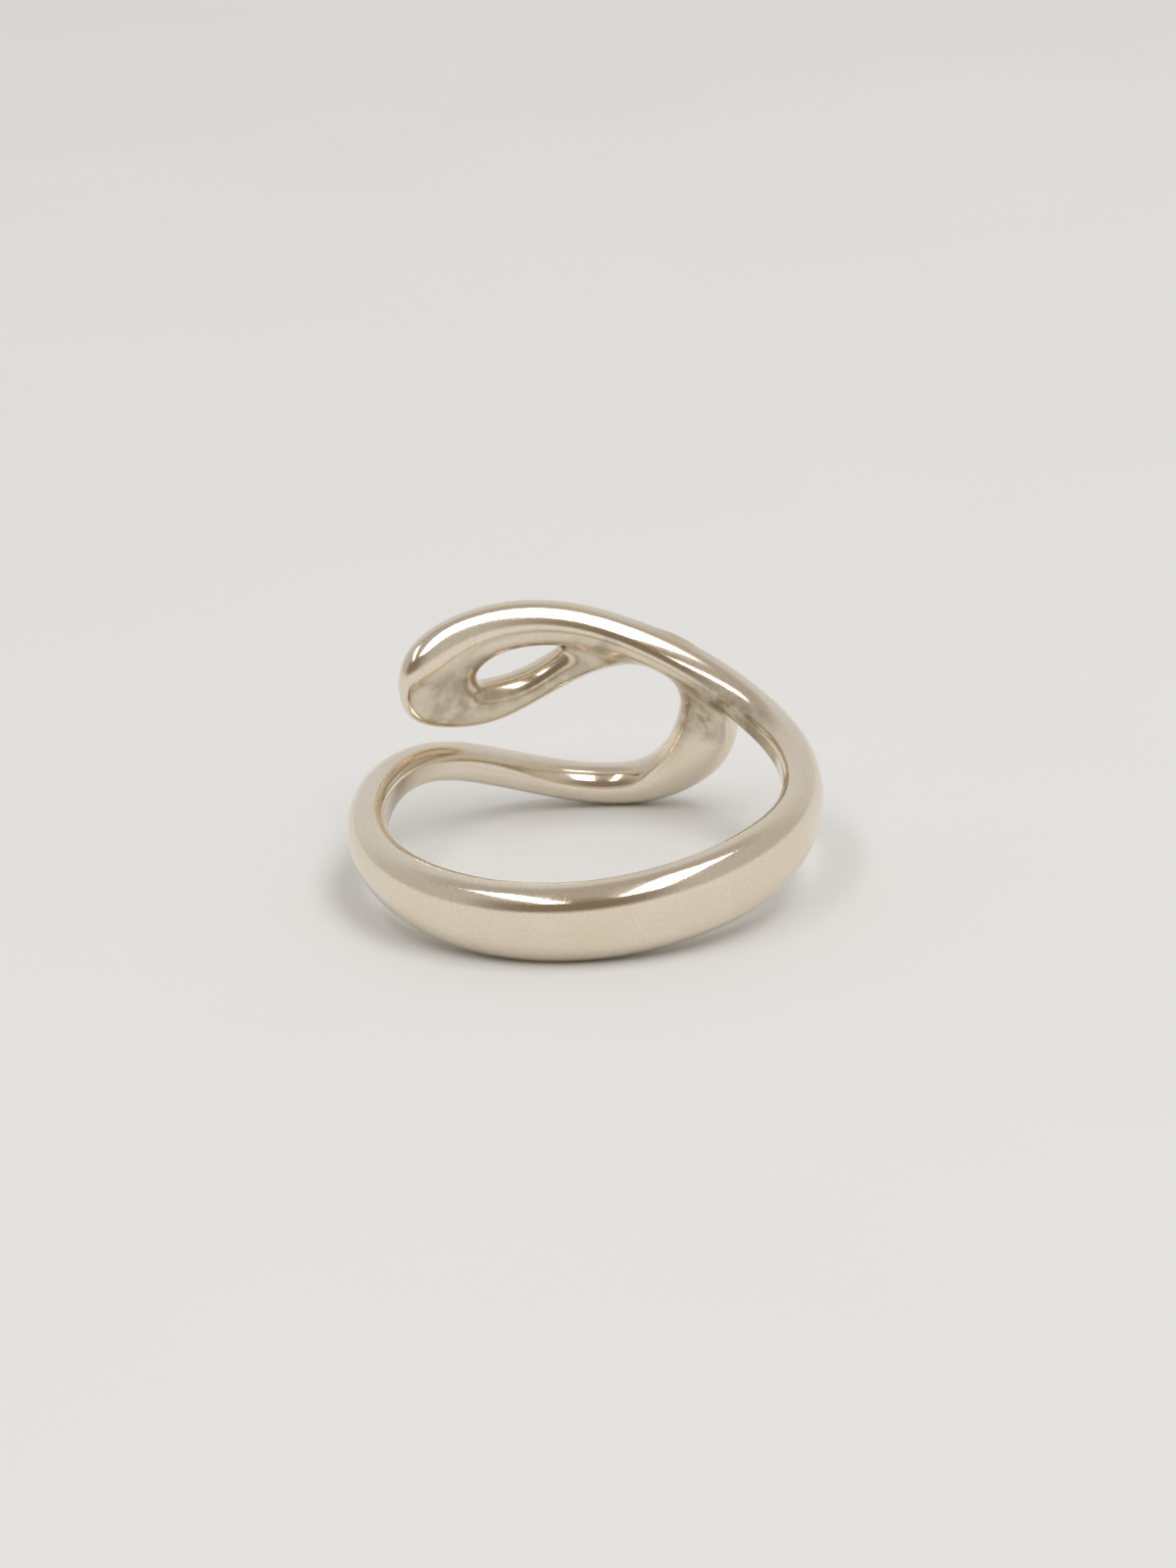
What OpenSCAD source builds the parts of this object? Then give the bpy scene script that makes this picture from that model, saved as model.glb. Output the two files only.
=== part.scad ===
// Adjustable open wave ring, cast in one piece of polished silver.
// One strand makes the whole ring. It runs round the finger as a domed shank, thins to near-round
// wire at the sides, dips across the head as the lower wave, turns back, closes in a broad loop
// end and returns as the upper wave. The turn and the middle strand lie further out than the upper
// wave, which crosses them on the finger's side and is fused to them.
// The head stays open between the loop end and the lower wave, so the ring can be sprung a little.
// The ring lies on its side as it rests on a table, the shank towards -Y, millimetres, +Z up.

/* [Finger hole] */
// Radius of the finger hole, for an inside diameter of 16.8 mm
bore_r = 8.4; // [8:0.1:10]
// Length of the cut that clears the finger hole
bore_cut_l = 30; // [20:1:60]

/* [Resting pose] */
// Lean of the finger axis towards the shank, because the lower wave reaches below the shank
lean_back = 10.9; // [0:0.1:20]
// Sideways lean of the finger axis, to where the ring balances
lean_side = -2.5; // [-10:0.1:10]

/* [Fineness] */
// Sections between one station of the strand and the next
steps = 4; // [2:1:5]
// Corners round each section
corners = 20; // [12:2:28]

/* [Strand] */
// Columns of the stations table: the strand's two edges as a turn round the finger axis in degrees
// and a height above the shank's middle, then the radial thickness of the full oval section and
// how deep the finger hole cuts into it, below 0 where the oval strand clears the hole. Turn 0 is
// the middle of the shank, and -90 the -X side.
TURN_A = 0;
HEIGHT_A = 1;
TURN_B = 2;
HEIGHT_B = 3;
THICK = 4;
SUNK = 5;
stations = [
    // shank, from its middle towards -X
    [0, 1.7, 0, -1.7, 2.4, 0.6],
    [-33, 1.6, -33, -1.7, 2.4, 0.6],
    [-66, 1.35, -66, -1.35, 2.1, 0.4],
    [-97, 0.85, -97, -0.85, 1.8, 0.2],
    // lower wave across the head
    [-119, 0.6, -119, -1, 1.9, 0.12],
    [-141, -0.12, -137, -1.75, 1.9, 0.03],
    [-161, -2.08, -156, -3.52, 2, -0.03],
    [-178, -3.5, -176, -5.14, 2, -0.03],
    [-195, -3.68, -196, -5.57, 2, -0.03],
    // turn at the +X end of the head, which the upper wave crosses
    [-204, -2.2, -213, -4.2, 2, -0.03],
    [-207.2, -1.2, -224, -2.25, 1.9, -0.1],
    [-210.8, 0.65, -228, 0.4, 1.8, -0.25],
    [-204, 1.6, -211, 3.35, 1.7, -0.5],
    // middle strand, back towards -X
    [-190, 1.5, -185, 3.35, 1.7, -0.55],
    [-172, 0.25, -169, 1.45, 1.7, -0.25],
    [-155, -0.6, -156, 1.75, 1.8, -0.08],
    // broad loop end, whose inner edge stays at the tip of the teardrop hole
    [-134, 0.85, -154.8, 1.8, 1.9, -0.03],
    [-128, 2.4, -153.6, 2.15, 1.9, -0.03],
    [-131, 5.03, -154, 2.5, 1.9, -0.03],
    // upper wave, across the turn and down to the shank
    [-160, 5.36, -161, 3.1, 2, -0.03],
    [-181, 4.72, -178, 2.9, 2, -0.03],
    [-199, 3.57, -196, 2.09, 2, -0.03],
    [-219, 2.3, -216, 0.79, 2, -0.03],
    [-241, 1.4, -239, -0.38, 1.8, 0.03],
    [-262, 1.38, -259, -0.35, 1.7, 0.12],
    // shank, back to its middle
    [-283, 1.3, -283, -1.35, 1.9, 0.2],
    [-308, 1.7, -308, -1.66, 2.1, 0.4],
    [-334, 1.85, -334, -1.62, 2.3, 0.5],
];
// Station where the strand is parted, in the loop end, so that neither half crosses itself
loop_station = 17; // [16:1:18]
// Fullness of a section's shoulders for each millimetre that the finger hole cuts into it
fullness = 0.05; // [0:0.01:0.1]

/* [Hidden] */
full_turn = [-360, 0, -360, 0, 0, 0];
silver = [0.89, 0.83, 0.72];
bore_sides = 120;

// A station by number, where the numbers run on past the table's end into the next turn.
function station(i) =
    let (laps = floor(i / len(stations)))
    stations[i - laps * len(stations)] + laps * full_turn;

// Weights of four neighbouring stations in a cubic spline, for a place between the middle two.
function weights(f) = [
    pow(1 - f, 3),
    3 * pow(f, 3) - 6 * pow(f, 2) + 4,
    -3 * pow(f, 3) + 3 * pow(f, 2) + 3 * f + 1,
    pow(f, 3),
] / 6;

// The smooth strand's own row at any place along the stations.
function strand_row(place) =
    let (i = floor(place))
    weights(place - i) * [for (k = [-1:2]) station(i + k)];

function between(a, b, share) = a + (b - a) * share;

// A point of the ring lying level on its finger axis.
function wound(turn, height, radius) = [radius * sin(turn), -radius * cos(turn), height];

// One section, bent round the finger, from edge A over the outer face to edge B and back. It is an
// oval on the head, and has fuller shoulders on the shank.
function section(place) =
    let (row = strand_row(place), middle_r = bore_r + row[THICK] / 2 - row[SUNK])
    let (full = fullness * max(row[SUNK], 0))
    [for (k = [0:corners - 1])
        let (angle = 360 * k / corners)
        let (share = (1 - (cos(angle) - full * cos(3 * angle)) / (1 - full)) / 2)
        let (rise = (sin(angle) + full * sin(3 * angle)) / (1 - full))
        wound(
            between(row[TURN_A], row[TURN_B], share),
            between(row[HEIGHT_A], row[HEIGHT_B], share),
            middle_r + row[THICK] / 2 * rise)];

function average(points) = [for (p = points) 1] * points / len(points);

// The lean of the resting pose: about X first, then about Y.
function leaned(p) =
    let (y = p.y * cos(lean_back) - p.z * sin(lean_back))
    let (z = p.y * sin(lean_back) + p.z * cos(lean_back))
    [p.x * cos(lean_side) + z * sin(lean_side), y, z * cos(lean_side) - p.x * sin(lean_side)];

// Where the leaning ring has to go so that its box stands centred on the origin.
all_points = [for (i = [0:len(stations) * steps - 1]) each section(i / steps)];
leaned_points = [for (p = all_points) leaned(p)];
low = [for (axis = [0:2]) min([for (p = leaned_points) p[axis]])];
high = [for (axis = [0:2]) max([for (p = leaned_points) p[axis]])];
to_table = [-(low.x + high.x) / 2, -(low.y + high.y) / 2, -low.z];

// A stretch of the strand between two stations, closed at both ends.
module strand(first, last) {
    rings = (last - first) * steps;
    sections = [for (i = [0:rings]) section(first + i / steps)];
    points = [for (s = sections) each s];
    first_middle = len(points);
    last_middle = first_middle + 1;
    walls = [for (i = [0:rings - 1], k = [0:corners - 1])
        let (a = i * corners + k, b = i * corners + (k + 1) % corners)
        each [[a, b, b + corners], [a, b + corners, a + corners]]];
    ends = [for (k = [0:corners - 1])
        let (next = (k + 1) % corners, end = rings * corners)
        each [[first_middle, next, k], [last_middle, end + k, end + next]]];
    polyhedron(
        points = concat(points, [average(sections[0]), average(sections[rings])]),
        faces = concat(walls, ends));
}

module finger_hole() {
    cylinder(r = bore_r, h = bore_cut_l, center = true, $fn = bore_sides);
}

module wave_band() {
    color(silver)
        translate(to_table)
            rotate([lean_back, lean_side, 0])
                difference() {
                    union() {
                        strand(0, loop_station);
                        strand(loop_station, len(stations));
                    }
                    finger_hole();
                }
}

wave_band();
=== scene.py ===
"""The adjustable open wave ring in polished silver, lying on a pale table."""
from math import cos, pi, radians, sin

import bpy
import numpy as np
from mathutils import Matrix
from mathutils.bvhtree import BVHTree


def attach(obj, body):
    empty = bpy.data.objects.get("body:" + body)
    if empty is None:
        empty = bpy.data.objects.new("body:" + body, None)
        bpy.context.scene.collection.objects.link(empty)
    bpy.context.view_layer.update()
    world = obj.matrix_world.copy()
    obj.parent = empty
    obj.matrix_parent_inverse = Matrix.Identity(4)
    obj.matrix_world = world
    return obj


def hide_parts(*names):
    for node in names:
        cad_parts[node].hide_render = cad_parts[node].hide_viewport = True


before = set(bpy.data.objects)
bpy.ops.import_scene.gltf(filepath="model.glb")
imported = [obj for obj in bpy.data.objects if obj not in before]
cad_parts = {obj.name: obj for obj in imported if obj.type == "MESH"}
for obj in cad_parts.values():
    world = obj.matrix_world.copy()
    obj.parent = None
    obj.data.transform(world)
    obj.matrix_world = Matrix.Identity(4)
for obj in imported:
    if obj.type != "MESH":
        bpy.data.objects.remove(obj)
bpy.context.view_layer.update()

MM = 0.001

# Sizes of the ring in millimetres, as in the part's source.
BORE_R = 8.4
LEAN_BACK, LEAN_SIDE = 10.9, -2.5
FULLNESS = 0.05
# The strand's two edges as a turn round the finger axis in degrees and a height above the shank's
# middle, the radial thickness of the full oval, and how deep the finger hole cuts into it, below 0
# where the oval strand clears the hole.
TURN_A, HEIGHT_A, TURN_B, HEIGHT_B, THICK, SUNK = range(6)
STATIONS = np.array([
    # shank, from its middle towards -X
    [0, 1.7, 0, -1.7, 2.4, 0.6],
    [-33, 1.6, -33, -1.7, 2.4, 0.6],
    [-66, 1.35, -66, -1.35, 2.1, 0.4],
    [-97, 0.85, -97, -0.85, 1.8, 0.2],
    # lower wave across the head
    [-119, 0.6, -119, -1, 1.9, 0.12],
    [-141, -0.12, -137, -1.75, 1.9, 0.03],
    [-161, -2.08, -156, -3.52, 2, -0.03],
    [-178, -3.5, -176, -5.14, 2, -0.03],
    [-195, -3.68, -196, -5.57, 2, -0.03],
    # turn at the +X end of the head, which the upper wave crosses
    [-204, -2.2, -213, -4.2, 2, -0.03],
    [-207.2, -1.2, -224, -2.25, 1.9, -0.1],
    [-210.8, 0.65, -228, 0.4, 1.8, -0.25],
    [-204, 1.6, -211, 3.35, 1.7, -0.5],
    # middle strand, back towards -X
    [-190, 1.5, -185, 3.35, 1.7, -0.55],
    [-172, 0.25, -169, 1.45, 1.7, -0.25],
    [-155, -0.6, -156, 1.75, 1.8, -0.08],
    # broad loop end, whose inner edge stays at the -X end of the teardrop hole
    [-134, 0.85, -154.8, 1.8, 1.9, -0.03],
    [-128, 2.4, -153.6, 2.15, 1.9, -0.03],
    [-131, 5.03, -154, 2.5, 1.9, -0.03],
    # upper wave, across the turn and down to the shank
    [-160, 5.36, -161, 3.1, 2, -0.03],
    [-181, 4.72, -178, 2.9, 2, -0.03],
    [-199, 3.57, -196, 2.09, 2, -0.03],
    [-219, 2.3, -216, 0.79, 2, -0.03],
    [-241, 1.4, -239, -0.38, 1.8, 0.03],
    [-262, 1.38, -259, -0.35, 1.7, 0.12],
    # shank, back to its middle
    [-283, 1.3, -283, -1.35, 1.9, 0.2],
    [-308, 1.7, -308, -1.66, 2.1, 0.4],
    [-334, 1.85, -334, -1.62, 2.3, 0.5],
])
FULL_TURN = np.array([-360, 0, -360, 0, 0, 0])
STRAND_END = len(STATIONS)
LOOP_STATION = 17
# Steps and corners of the part's own coarse sections, which its box is taken from.
CAD_STEPS, CAD_CORNERS = 4, 20

# Fineness of the shown surface, and of the finer one that distances are taken from.
SHOWN_STEPS, OUTER_CORNERS, INNER_CORNERS = 32, 48, 24
TRUE_STEPS, TRUE_OUTER, TRUE_INNER = 44, 84, 36
# Spacing of a section's corners at the finger hole's edges, as a share of their mean spacing.
EDGE_SPACING = 0.5
# Softens the change from the cut strand, whose corners follow the hole's edges, to the uncut one.
SOFT_EDGE = 0.2
# Rounds of the search for a section's corner at the hole's edge, and for the finished surface.
EDGE_ROUNDS, SURFACE_ROUNDS = 4, 6
# A small step, to take the surface's slopes over.
NUDGE = 1e-5

# The fused crossing: its stretches of the lower and the upper strand, and the size of the fillet.
LOWER_STRETCH, UPPER_STRETCH = (8, 15), (19, 26)
FILLET = 0.8
# How far the polished edges of the finger hole are rounded over, where it is cut this deep.
RIM, RIM_DEPTH = 0.2, 0.15
# Two surfaces are rounded in full where one less the cosine of the angle between them is this much,
# and less at smaller angles, down to the least share, which keeps the sizes above 0.
FULL_ANGLE, LEAST_SHARE = 0.5, 0.02
# Power that draws the crease of the crossing together to its deepest line.
CREASE_POWER = 3


def strand_rows(places):
    """The strand's own row at these places along the stations."""
    cell = np.floor(places).astype(int)
    f = (places - cell)[:, None]
    weights = (1 - f) ** 3, 3 * f**3 - 6 * f**2 + 4, -3 * f**3 + 3 * f**2 + 3 * f + 1, f**3
    rows = np.zeros((len(places), STATIONS.shape[1]))
    for k, weight in enumerate(weights):
        laps, index = np.divmod(cell + k - 1, STRAND_END)
        rows += weight / 6 * (STATIONS[index] + laps[:, None] * FULL_TURN)
    return rows


def strand_points(places, angle):
    """Points of the full strand at these places, with a row of angles round the section for each."""
    row = strand_rows(places)[:, :, None]
    full = FULLNESS * np.maximum(row[:, SUNK], 0)
    share = (1 - (np.cos(angle) - full * np.cos(3 * angle)) / (1 - full)) / 2
    rise = (np.sin(angle) + full * np.sin(3 * angle)) / (1 - full)
    turn = np.radians(row[:, TURN_A] + (row[:, TURN_B] - row[:, TURN_A]) * share)
    height = row[:, HEIGHT_A] + (row[:, HEIGHT_B] - row[:, HEIGHT_A]) * share
    half = row[:, THICK] / 2
    radius = BORE_R + half - row[:, SUNK] + half * rise
    return np.stack([radius * np.sin(turn), -radius * np.cos(turn), height], 2)


def eased(count):
    """Steps from 0 to 1, closer together at both ends."""
    u = np.linspace(0, 1, count, endpoint=False)
    return u - (1 - EDGE_SPACING) * np.sin(2 * pi * u) / (2 * pi)


def corner_angles(places, outer, inner):
    """Angles round each section, whose outer and inner arcs meet at the finger hole's edges."""
    row = strand_rows(places)
    sunk, half = row[:, SUNK, None], row[:, THICK, None] / 2
    full = FULLNESS * np.maximum(sunk, 0)
    rise = (sunk + np.hypot(sunk, SOFT_EDGE)) / 2 / half - 1
    edge = np.arcsin(rise)
    for _ in range(EDGE_ROUNDS):
        edge = np.arcsin(rise * (1 - full) - full * np.sin(3 * edge))
    over = edge + (pi - 2 * edge) * eased(outer)
    back = pi - edge + (pi + 2 * edge) * eased(inner)
    return np.hstack([over, back])


def surface(places, outer, inner):
    """Points and outward normals of the full strand."""
    angle = corner_angles(places, outer, inner)
    points = strand_points(places, angle)
    along = strand_points(places + NUDGE, angle) - points
    across = strand_points(places, angle + NUDGE) - points
    normal = np.cross(along, across)
    return points, normal / np.linalg.norm(normal, axis=2, keepdims=True)


def quads(rings, corners):
    """Faces between neighbouring rings of points."""
    ring, corner = np.meshgrid(np.arange(rings - 1), np.arange(corners), indexing="ij")
    a = ring * corners + corner
    b = ring * corners + (corner + 1) % corners
    return np.stack([a, a + corners, b + corners, b], 2).reshape(-1, 4)


def new_object(name, points, faces):
    """A mesh of these points and faces, placed in the scene."""
    mesh = bpy.data.meshes.new(name)
    mesh.from_pydata([tuple(p) for p in points], [], [tuple(f) for f in faces])
    mesh.update()
    made = bpy.data.objects.new(name, mesh)
    bpy.context.scene.collection.objects.link(made)
    return made


def half_strand(name, first, last):
    """A stretch of the strand, closed at both ends."""
    places = np.linspace(first, last, (last - first) * SHOWN_STEPS + 1)
    points, _ = surface(places, OUTER_CORNERS, INNER_CORNERS)
    rings, corners = points.shape[:2]
    end = (rings - 1) * corners
    caps = [list(range(corners)), list(range(end, end + corners))[::-1]]
    return new_object(name, points.reshape(-1, 3), quads(rings, corners).tolist() + caps)


def dot(a, b):
    """The dot product of each row of one list of vectors with the same row of another."""
    return np.einsum("ij,ij->i", a, b)


class Sheet:
    """The true surface of a stretch of the strand, to measure distances from."""

    def __init__(self, first, last):
        places = np.linspace(first, last, (last - first) * TRUE_STEPS + 1)
        points, normals = surface(places, TRUE_OUTER, TRUE_INNER)
        corners = TRUE_OUTER + TRUE_INNER
        self.points = points.reshape(-1, 3)
        self.normals = normals.reshape(-1, 3)
        square = quads(len(places), corners)
        self.triangles = np.vstack([square[:, [0, 1, 2]], square[:, [0, 2, 3]]])
        sunk = strand_rows(places)[:, SUNK]
        self.rim = RIM * np.clip(np.repeat(sunk, corners) / RIM_DEPTH, LEAST_SHARE, 1)
        self.tree = BVHTree.FromPolygons(
            self.points.tolist(), self.triangles.tolist(), all_triangles=True)

    def measure(self, points):
        """For each point's nearest place: signed and plain distance, normal and rim size."""
        found = [self.tree.find_nearest(p) for p in points.tolist()]
        near = np.array([tuple(f[0]) for f in found])
        corner = self.triangles[np.array([f[2] for f in found])]
        a, b, c = (self.points[corner[:, k]] for k in range(3))
        plane = np.cross(b - a, c - a)
        size = dot(plane, plane)
        size[size == 0] = 1
        share_b = dot(np.cross(near - a, c - a), plane) / size
        share_c = dot(np.cross(b - a, near - a), plane) / size
        shares = np.stack([1 - share_b - share_c, share_b, share_c], 1)
        normal = np.einsum("ijk,ij->ik", self.normals[corner], shares)
        normal /= np.linalg.norm(normal, axis=1, keepdims=True)
        gap = points - near
        return dot(gap, normal), np.linalg.norm(gap, axis=1), normal, dot(self.rim[corner], shares)


def soft_max(a, b, slope_a, slope_b, size):
    """The greater of two distances, rounded over where they meet at an angle, and its slope."""
    size = size * np.clip((1 - dot(slope_a, slope_b)) / FULL_ANGLE, LEAST_SHARE, 1)
    h = np.maximum(size - np.abs(a - b), 0) / size
    share_a = np.where(a > b, 1 - h / 2, h / 2)[:, None]
    return np.maximum(a, b) + h**2 * size / 4, slope_a * share_a + slope_b * (1 - share_a)


def fused(low, high, slope_low, slope_high):
    """The lesser of two distances, filled out where they meet, and its slope."""
    distance, slope = soft_max(-low, -high, -slope_low, -slope_high, FILLET)
    return -distance, -slope


whole = Sheet(0, STRAND_END)
lower = Sheet(*LOWER_STRETCH)
upper = Sheet(*UPPER_STRETCH)


def ring_field(points):
    """Distance outside the finished metal, its slope, and how deep each point is in the crease."""
    distance, _, slope, rim = whole.measure(points)
    low, low_gap, low_slope, _ = lower.measure(points)
    high, high_gap, high_slope, _ = upper.measure(points)
    both = (low_gap < FILLET) & (high_gap < FILLET)
    filled, filled_slope = fused(low[both], high[both], low_slope[both], high_slope[both])
    distance[both], slope[both] = filled, filled_slope
    crease = np.zeros(len(points))
    crease[both] = np.maximum(1 - np.abs(low[both] - high[both]) / FILLET, 0) ** CREASE_POWER
    radius = np.hypot(points[:, 0], points[:, 1])
    inward = points * [-1, -1, 0] / radius[:, None]
    distance, slope = soft_max(distance, BORE_R - radius, slope, inward, rim)
    return distance, slope, crease


def to_row_frame(points):
    """From the ring's own frame to the row frame, before the move that stands it on the table."""
    lean = Matrix.Rotation(radians(LEAN_SIDE), 3, "Y") @ Matrix.Rotation(radians(LEAN_BACK), 3, "X")
    return points @ np.array(lean).T


def table_move():
    """The move that stands the leaning ring on the table, centred on its box."""
    places = np.arange(0, STRAND_END, 1 / CAD_STEPS)
    angle = 2 * pi * np.arange(CAD_CORNERS) / CAD_CORNERS
    leaned = to_row_frame(strand_points(places, angle[None]).reshape(-1, 3))
    low, high = leaned.min(0), leaned.max(0)
    return np.array([-(low[0] + high[0]) / 2, -(low[1] + high[1]) / 2, -low[2]])


TO_TABLE = table_move()


def joined_halves():
    """A mesh of the whole strand: both halves, joined to one closed surface."""
    first = half_strand("ring_half_a", 0, LOOP_STATION)
    second = half_strand("ring_half_b", LOOP_STATION, STRAND_END)
    join = first.modifiers.new("join", "BOOLEAN")
    join.operation = "UNION"
    join.solver = "MANIFOLD"
    join.object = second
    shown = first.evaluated_get(bpy.context.evaluated_depsgraph_get())
    joined = bpy.data.meshes.new_from_object(shown)
    for leftover in (first, second):
        bpy.data.objects.remove(leftover)
    return joined


def make_ring():
    """One closed smooth surface: the joined strand, bored, filleted and rounded."""
    mesh = joined_halves()
    points = np.empty(len(mesh.vertices) * 3)
    mesh.vertices.foreach_get("co", points)
    points = points.reshape(-1, 3)
    radius = np.hypot(points[:, 0], points[:, 1])
    points[:, :2] *= (np.maximum(radius, BORE_R) / radius)[:, None]
    for _ in range(SURFACE_ROUNDS):
        distance, slope, _ = ring_field(points)
        points -= (distance / dot(slope, slope))[:, None] * slope
    distance, normal, crease = ring_field(points)
    print("ring surface:", len(points), "points, at most", round(np.abs(distance).max(), 5), "mm off")
    normal /= np.linalg.norm(normal, axis=1, keepdims=True)

    placed = (to_row_frame(points) + TO_TABLE) * MM
    mesh.vertices.foreach_set("co", placed.ravel())
    mesh.attributes.new("ring_place", "FLOAT_VECTOR", "POINT").data.foreach_set("vector", points.ravel())
    mesh.attributes.new("crease", "FLOAT", "POINT").data.foreach_set("value", crease)
    mesh.polygons.foreach_set("use_smooth", [True] * len(mesh.polygons))
    mesh.update()
    mesh.normals_split_custom_set_from_vertices(to_row_frame(normal).tolist())
    mesh.name = "silver_wave_ring"
    made = bpy.data.objects.new("silver_wave_ring", mesh)
    bpy.context.scene.collection.objects.link(made)
    return made


ring = make_ring()
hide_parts("wave_band")
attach(ring, "root")


def link(tree, source, target):
    tree.links.new(source, target)


def node(tree, kind, **settings):
    made = tree.nodes.new("ShaderNode" + kind)
    for name, value in settings.items():
        setattr(made, name, value)
    return made


def axes(tree, vector):
    """The X, Y and Z of a vector, as numbers."""
    part = node(tree, "SeparateXYZ")
    link(tree, vector, part.inputs[0])
    return part.outputs["X"], part.outputs["Y"], part.outputs["Z"]


def mapped(tree, source, span, to_span=(0, 1)):
    """A smooth step of a number from one span to another."""
    made = node(tree, "MapRange", interpolation_type="SMOOTHSTEP")
    link(tree, source, made.inputs["Value"])
    for name, value in zip(("From Min", "From Max", "To Min", "To Max"), (*span, *to_span)):
        made.inputs[name].default_value = value
    return made.outputs["Result"]


def mix_colours(tree, share, first, second):
    """A mix of two colours, each a socket or plain red, green and blue."""
    made = node(tree, "Mix", data_type="RGBA")
    link(tree, share, made.inputs[0])
    for socket, value in ((made.inputs[6], first), (made.inputs[7], second)):
        if isinstance(value, tuple):
            socket.default_value = (*value, 1)
        else:
            link(tree, value, socket)
    return made.outputs[2]


def number(tree, operation, *values):
    """A sum, a product or the like of numbers, each a socket or plain, taken from left to right."""
    result = values[0]
    for value in values[1:]:
        made = node(tree, "Math", operation=operation)
        for socket, given in zip(made.inputs, (result, value)):
            if isinstance(given, (int, float)):
                socket.default_value = given
            else:
                link(tree, given, socket)
        result = made.outputs[0]
    return result


def noise(tree, place, size, stretch=(1, 1, 1), turn=(0, 0, 0), detail=2):
    """Soft noise around 0.5 whose features have this size, drawn out by the stretch, then turned."""
    mapping = node(tree, "Mapping", vector_type="TEXTURE")
    mapping.inputs["Rotation"].default_value = [radians(t) for t in turn]
    mapping.inputs["Scale"].default_value = [size * s for s in stretch]
    link(tree, place, mapping.inputs["Vector"])
    made = node(tree, "TexNoise")
    made.inputs["Scale"].default_value = 1
    made.inputs["Detail"].default_value = detail
    link(tree, mapping.outputs["Vector"], made.inputs["Vector"])
    return made.outputs["Fac"]


def bumped(tree, height, depth, below=None):
    """A normal bumped by a height from 0 to 1, over a depth in metres, on top of another bump."""
    made = node(tree, "Bump")
    made.inputs["Distance"].default_value = depth
    link(tree, height, made.inputs["Height"])
    if below:
        link(tree, below, made.inputs["Normal"])
    return made.outputs["Normal"]


def new_material(name):
    """A material, its node tree and its main shader."""
    material = bpy.data.materials.new(name)
    material.use_nodes = True
    tree = material.node_tree
    return material, tree, tree.nodes["Principled BSDF"]


# Silver. Its colours: the metal in two tones, painted shade in the crease of the crossing, painted shade
# on the inner face of the loop end and the turn, and the specks.
SILVER, SILVER_WARM = (0.90, 0.82, 0.70), (0.88, 0.79, 0.65)
CREASE_PAINTED_SHADE, PAINTED_SHADE = (0.72, 0.62, 0.46), (0.36, 0.29, 0.19)
SPECKLE, SPECKLE_SHARE = (0.62, 0.54, 0.42), 0.30
# Roughness of the best and the least polished patches, and what each kind of place adds to it.
PATCH_ROUGHNESS = (0.05, 0.10)
SCRATCH_ROUGHNESS, WALL_ROUGHNESS, HEAD_ROUGHNESS = 0.05, 0.08, 0.05
SHADE_ROUGHNESS, CREASE_ROUGHNESS = 0.10, 0.15
# Sizes in millimetres: slow swells, patches and fine scratches from the buff, a fine grain, and lines
# round the inside of the band where it was polished on a mandrel. Each scratch direction has its
# turns in degrees and its width.
SWELL_SIZE, PATCH_SIZE, GRAIN_SIZE = 2.2, 3.0, 0.07
SCRATCHES = (((0, 25, 40), 0.03), ((0, -50, -35), 0.025), ((70, 10, 80), 0.035))
LINE_SIZE = 0.045
SCRATCH_STRETCH, LINE_STRETCH = 45, 90
SWELL_DEPTH, GRAIN_DEPTH, SCRATCH_DEPTH, LINE_DEPTH = 0.008, 0.0016, 0.0004, 0.0012
# Spans of the noise over which scratches, tones, and the polish and the specks set in.
SCRATCH_SPAN, TONE_SPAN, GRAIN_SPAN = (0.62, 0.70), (0.35, 0.65), (0.3, 0.7)
# Radii over which the marks of the hole's wall end, and the way from the ring's middle to its head.
WALL_SPAN, HEAD_SPAN = (BORE_R + 0.01, BORE_R + 0.08), (0, 6)
# A little painted shade, mottled, on the inner face of the loop end and the turn: its
# lower and upper edge, the radii over which it fades outwards, and where it sets in on the head.
SHADE_BOTTOM, SHADE_TOP = (0.2, 1.2), (2.9, 3.9)
SHADE_RADIUS, SHADE_Y = (BORE_R + 0.35, BORE_R + 0.75), (2, 5)
# On the turn the painted shade lies lower, and on the loop end it is weaker.
TURN_SPAN, TURN_DROP = (1.5, 3.5), 1.8
LOOP_SPAN, LOOP_SHARE = (0, 4), 0.6
MOTTLE_SIZE, MOTTLE_SPAN, MOTTLE_LEAST = 0.9, (0.35, 0.62), 0.3


def painted_shade_share(tree, place, radius):
    """How strong the painted shade is at each place."""
    x, y, z = axes(tree, place)
    level = number(tree, "ADD", z, mapped(tree, x, TURN_SPAN, (0, TURN_DROP)))
    mottle = noise(tree, place, MOTTLE_SIZE, detail=3)
    return number(
        tree, "MULTIPLY",
        mapped(tree, level, SHADE_BOTTOM),
        mapped(tree, level, SHADE_TOP, (1, 0)),
        mapped(tree, radius, SHADE_RADIUS, (1, 0)),
        mapped(tree, y, SHADE_Y),
        mapped(tree, mottle, MOTTLE_SPAN, (MOTTLE_LEAST, 1)),
        mapped(tree, x, LOOP_SPAN, (LOOP_SHARE, 1)))


def mandrel_lines(tree, place):
    """Fine lines that run round the finger."""
    x, y, z = axes(tree, place)
    unrolled = node(tree, "CombineXYZ")
    turn = number(tree, "ARCTAN2", x, number(tree, "MULTIPLY", y, -1))
    link(tree, number(tree, "MULTIPLY", turn, BORE_R), unrolled.inputs["X"])
    link(tree, z, unrolled.inputs["Y"])
    return noise(tree, unrolled.outputs[0], LINE_SIZE, (LINE_STRETCH, 1, 1))


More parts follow.
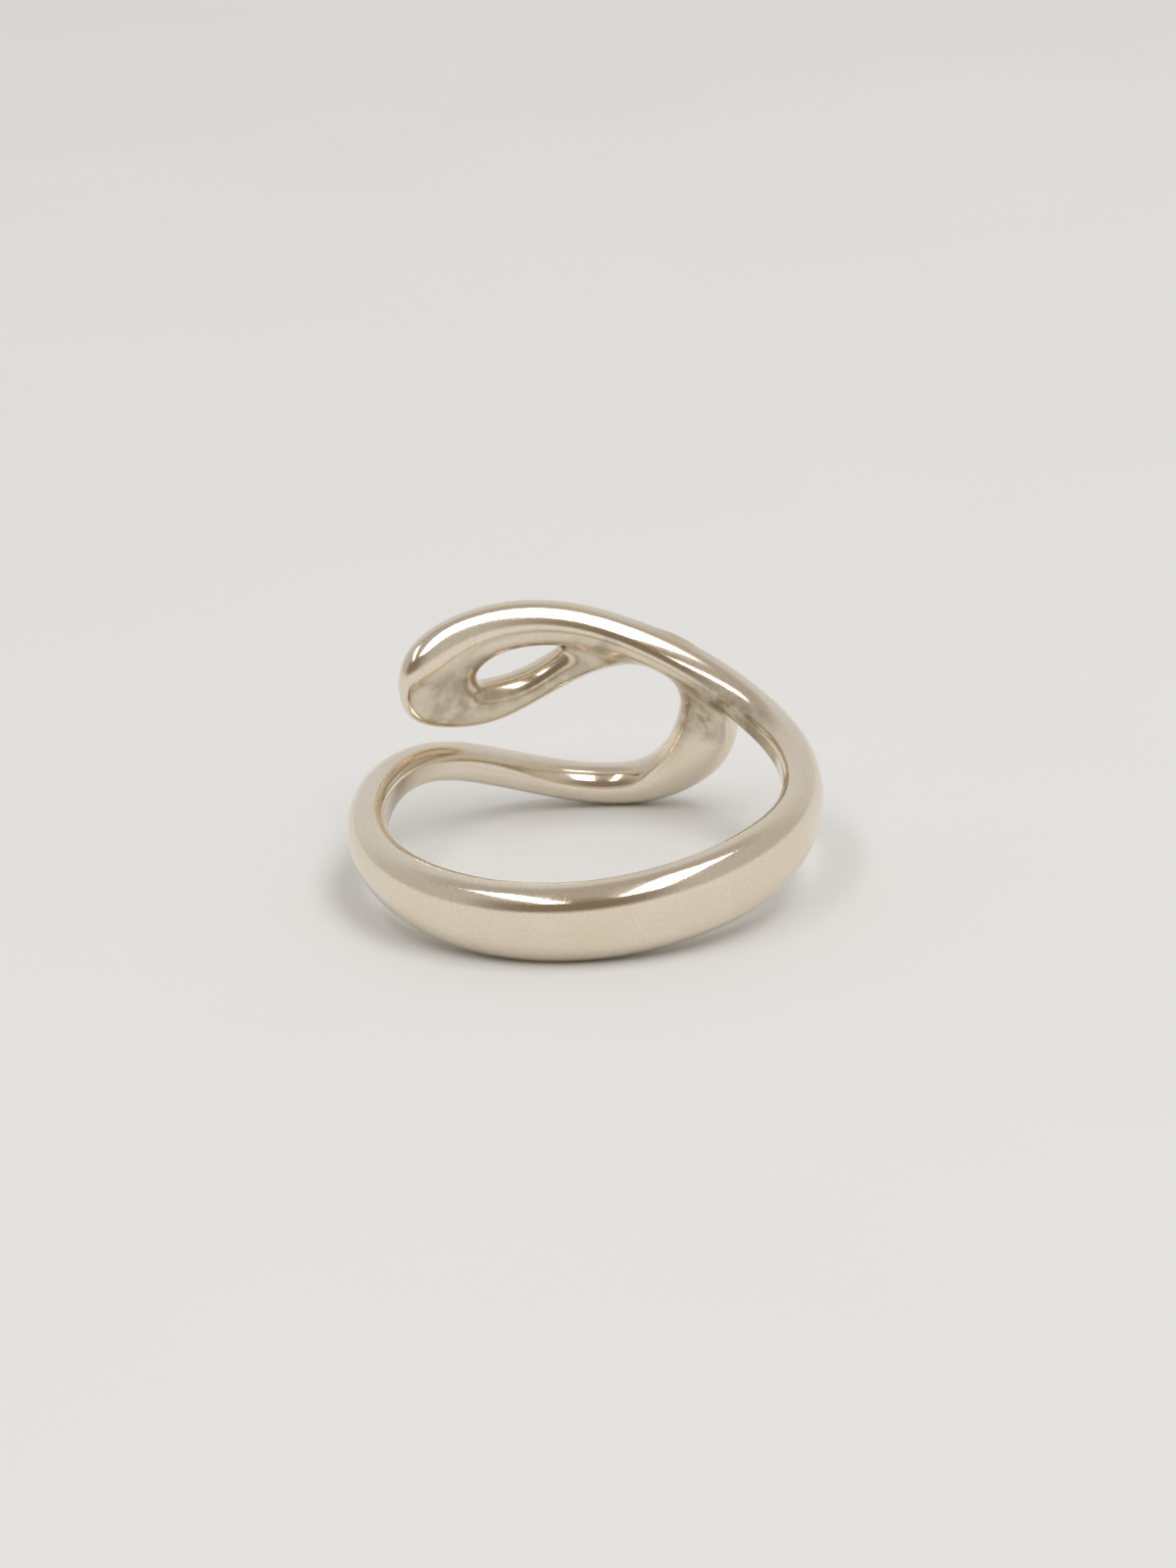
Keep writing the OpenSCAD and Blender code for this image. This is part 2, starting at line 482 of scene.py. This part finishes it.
def buff_scratches(tree, place):
    """Fine straight scratches in a few directions."""
    streaks = [
        noise(tree, place, size, (SCRATCH_STRETCH, 1, 1), turned)
        for turned, size in SCRATCHES]
    return number(tree, "MAXIMUM", *[mapped(tree, streak, SCRATCH_SPAN) for streak in streaks])


def silver_material():
    material, tree, shader = new_material("polished_silver")
    shader.inputs["Metallic"].default_value = 1
    place = node(tree, "Attribute", attribute_name="ring_place").outputs["Vector"]
    crease = node(tree, "Attribute", attribute_name="crease").outputs["Fac"]
    x, y, _ = axes(tree, place)
    squares = number(tree, "ADD", number(tree, "MULTIPLY", x, x), number(tree, "MULTIPLY", y, y))
    radius = number(tree, "POWER", squares, 0.5)
    wall = mapped(tree, radius, WALL_SPAN, (1, 0))
    head = mapped(tree, y, HEAD_SPAN)
    shade_share = painted_shade_share(tree, place, radius)
    scratches = buff_scratches(tree, place)
    patches = noise(tree, place, PATCH_SIZE, detail=4)
    grain = noise(tree, place, GRAIN_SIZE, detail=1)

    tone = mix_colours(tree, mapped(tree, patches, TONE_SPAN), SILVER, SILVER_WARM)
    tone = mix_colours(tree, mapped(tree, grain, GRAIN_SPAN, (0, SPECKLE_SHARE)), tone, SPECKLE)
    # Painted shade on the inner face of the loop end and the turn.
    tone = mix_colours(tree, shade_share, tone, PAINTED_SHADE)
    # Painted shade in the crease of the crossing.
    link(tree, mix_colours(tree, crease, tone, CREASE_PAINTED_SHADE), shader.inputs["Base Color"])

    roughness = mapped(tree, patches, GRAIN_SPAN, PATCH_ROUGHNESS)
    for share, added in (
            (scratches, SCRATCH_ROUGHNESS),
            (wall, WALL_ROUGHNESS),
            (head, HEAD_ROUGHNESS),
            (shade_share, SHADE_ROUGHNESS),
            (crease, CREASE_ROUGHNESS)):
        roughness = number(tree, "ADD", roughness, number(tree, "MULTIPLY", share, added))
    link(tree, roughness, shader.inputs["Roughness"])

    lines = number(tree, "MULTIPLY", mandrel_lines(tree, place), wall)
    normal = bumped(tree, noise(tree, place, SWELL_SIZE), SWELL_DEPTH * MM)
    for height, depth in ((grain, GRAIN_DEPTH), (scratches, SCRATCH_DEPTH), (lines, LINE_DEPTH)):
        normal = bumped(tree, height, depth * MM, normal)
    link(tree, normal, shader.inputs["Normal"])
    return material


ring.data.materials.clear()
ring.data.materials.append(silver_material())

# Floor: a plain sheet of pale paper, in metres.
FLOOR_HALF = 3.0
PAPER, PAPER_SHADE, PAPER_ROUGHNESS = (0.85, 0.87, 0.88), (0.83, 0.85, 0.86), 0.9
FIBRE_SIZE, FIBRE_STRETCH, FIBRE_DEPTH, CLOUD_SIZE = 0.0004, 3, 0.00001, 0.02


def paper_material():
    material, tree, shader = new_material("pale_paper")
    shader.inputs["Roughness"].default_value = PAPER_ROUGHNESS
    place = node(tree, "TexCoord").outputs["Object"]
    clouds = noise(tree, place, CLOUD_SIZE)
    link(tree, mix_colours(tree, clouds, PAPER, PAPER_SHADE), shader.inputs["Base Color"])
    fibres = noise(tree, place, FIBRE_SIZE, (FIBRE_STRETCH, 1, 1))
    link(tree, bumped(tree, fibres, FIBRE_DEPTH), shader.inputs["Normal"])
    return material


floor = new_object(
    "floor",
    [(x * FLOOR_HALF, y * FLOOR_HALF, 0) for x, y in ((-1, -1), (1, -1), (1, 1), (-1, 1))],
    [(0, 1, 2, 3)])
floor.data.materials.append(paper_material())

# Camera, as the photo sees the ring: from the front, 30 degrees above the plane of its shank and
# slightly rolled. It looks at a point of the finger axis, which is given by its height above the
# shank's middle and by its pixel in the photo. Angles in degrees, lengths in millimetres.
VIEW_RISE, VIEW_ROLL = 30.17, -5.65
VIEW_DISTANCE, VIEW_LIFT = 220, 1.91
PIXELS_PER_MM = 24.35
IMAGE_W, IMAGE_H = 1200, 1600
AXIS_X, AXIS_Y = 592.6, 783.9
SENSOR = 36
# The nearest and the furthest that it shows, in metres.
CLIP_NEAR, CLIP_FAR = 0.01, 20


def make_camera():
    rise, roll = radians(VIEW_RISE), radians(VIEW_ROLL)
    back = np.array([0, -cos(rise), sin(rise)])
    above = np.array([0, sin(rise), cos(rise)])
    side = np.array([1, 0, 0])
    right = cos(roll) * side + sin(roll) * above
    up = -sin(roll) * side + cos(roll) * above
    place = VIEW_DISTANCE * back + [0, 0, VIEW_LIFT]
    matrix = Matrix(to_row_frame(np.array([right, up, back])).T.tolist()).to_4x4()
    matrix.translation = ((to_row_frame(place) + TO_TABLE) * MM).tolist()
    data = bpy.data.cameras.new("camera")
    data.sensor_width = SENSOR
    data.lens = PIXELS_PER_MM * VIEW_DISTANCE * SENSOR / IMAGE_H
    data.shift_x = (IMAGE_W / 2 - AXIS_X) / IMAGE_H
    data.shift_y = (AXIS_Y - IMAGE_H / 2) / IMAGE_H
    data.clip_start, data.clip_end = CLIP_NEAR, CLIP_FAR
    camera = bpy.data.objects.new("camera", data)
    camera.matrix_world = matrix
    bpy.context.scene.collection.objects.link(camera)
    bpy.context.scene.camera = camera


make_camera()

# Two softboxes overhead, in metres. Each strand reflects them as a pair of highlights.
PANEL_HEIGHT, PANEL_L, PANEL_Y = 1.0, 1.15, -0.45
LEFT_PANEL_X, LEFT_PANEL_W = -0.43, 0.20
RIGHT_PANEL_X, RIGHT_PANEL_W = 0.36, 0.44
PANEL_RADIANCE = 3.4
PANEL_COLOUR = (1, 0.99, 0.98)


def softbox(name, x, width):
    data = bpy.data.lights.new(name, "AREA")
    data.shape = "RECTANGLE"
    data.size, data.size_y = width, PANEL_L
    data.energy = PANEL_RADIANCE * pi * width * PANEL_L
    data.color = PANEL_COLOUR
    lamp = bpy.data.objects.new(name, data)
    lamp.location = (x, PANEL_Y, PANEL_HEIGHT)
    bpy.context.scene.collection.objects.link(lamp)


softbox("softbox_left", LEFT_PANEL_X, LEFT_PANEL_W)
softbox("softbox_right", RIGHT_PANEL_X, RIGHT_PANEL_W)

# The studio round the ring: pale at the horizon and behind, darker overhead, and brown in front,
# where the camera stands.
STUDIO_SIDE = (0.54, 0.51, 0.47)
STUDIO_BACK = (0.68, 0.67, 0.66)
STUDIO_TOP = (0.46, 0.42, 0.38)
STUDIO_FRONT = (0.24, 0.19, 0.14)
STUDIO_HORIZON = (0.80, 0.79, 0.76)
FRONT_AZIMUTH, FRONT_RISE = -12, 22
# Where each part sets in and is full, as the cosine of the angle to its middle, and at the horizon as
# the sine of the height above it.
BACK_SPAN, TOP_SPAN, FRONT_SPAN = (0.2, 0.9), (0.70, 0.90), (0.60, 0.98)
HORIZON_SPAN = (0.0, 0.20)


def make_studio():
    world = bpy.data.worlds.new("studio")
    bpy.context.scene.world = world
    world.use_nodes = True
    tree = world.node_tree
    direction = node(tree, "TexCoord").outputs["Generated"]
    _, y, z = axes(tree, direction)
    azimuth, rise = radians(FRONT_AZIMUTH), radians(FRONT_RISE)
    front = node(tree, "VectorMath", operation="DOT_PRODUCT")
    link(tree, direction, front.inputs[0])
    front.inputs[1].default_value = (sin(azimuth) * cos(rise), -cos(azimuth) * cos(rise), sin(rise))
    colour = mix_colours(tree, mapped(tree, y, BACK_SPAN), STUDIO_SIDE, STUDIO_BACK)
    colour = mix_colours(tree, mapped(tree, z, TOP_SPAN), colour, STUDIO_TOP)
    to_front = mapped(tree, front.outputs["Value"], FRONT_SPAN)
    colour = mix_colours(tree, to_front, colour, STUDIO_FRONT)
    colour = mix_colours(tree, mapped(tree, z, HORIZON_SPAN), STUDIO_HORIZON, colour)
    link(tree, colour, tree.nodes["Background"].inputs["Color"])


make_studio()
bpy.context.scene.view_settings.view_transform = "Standard"
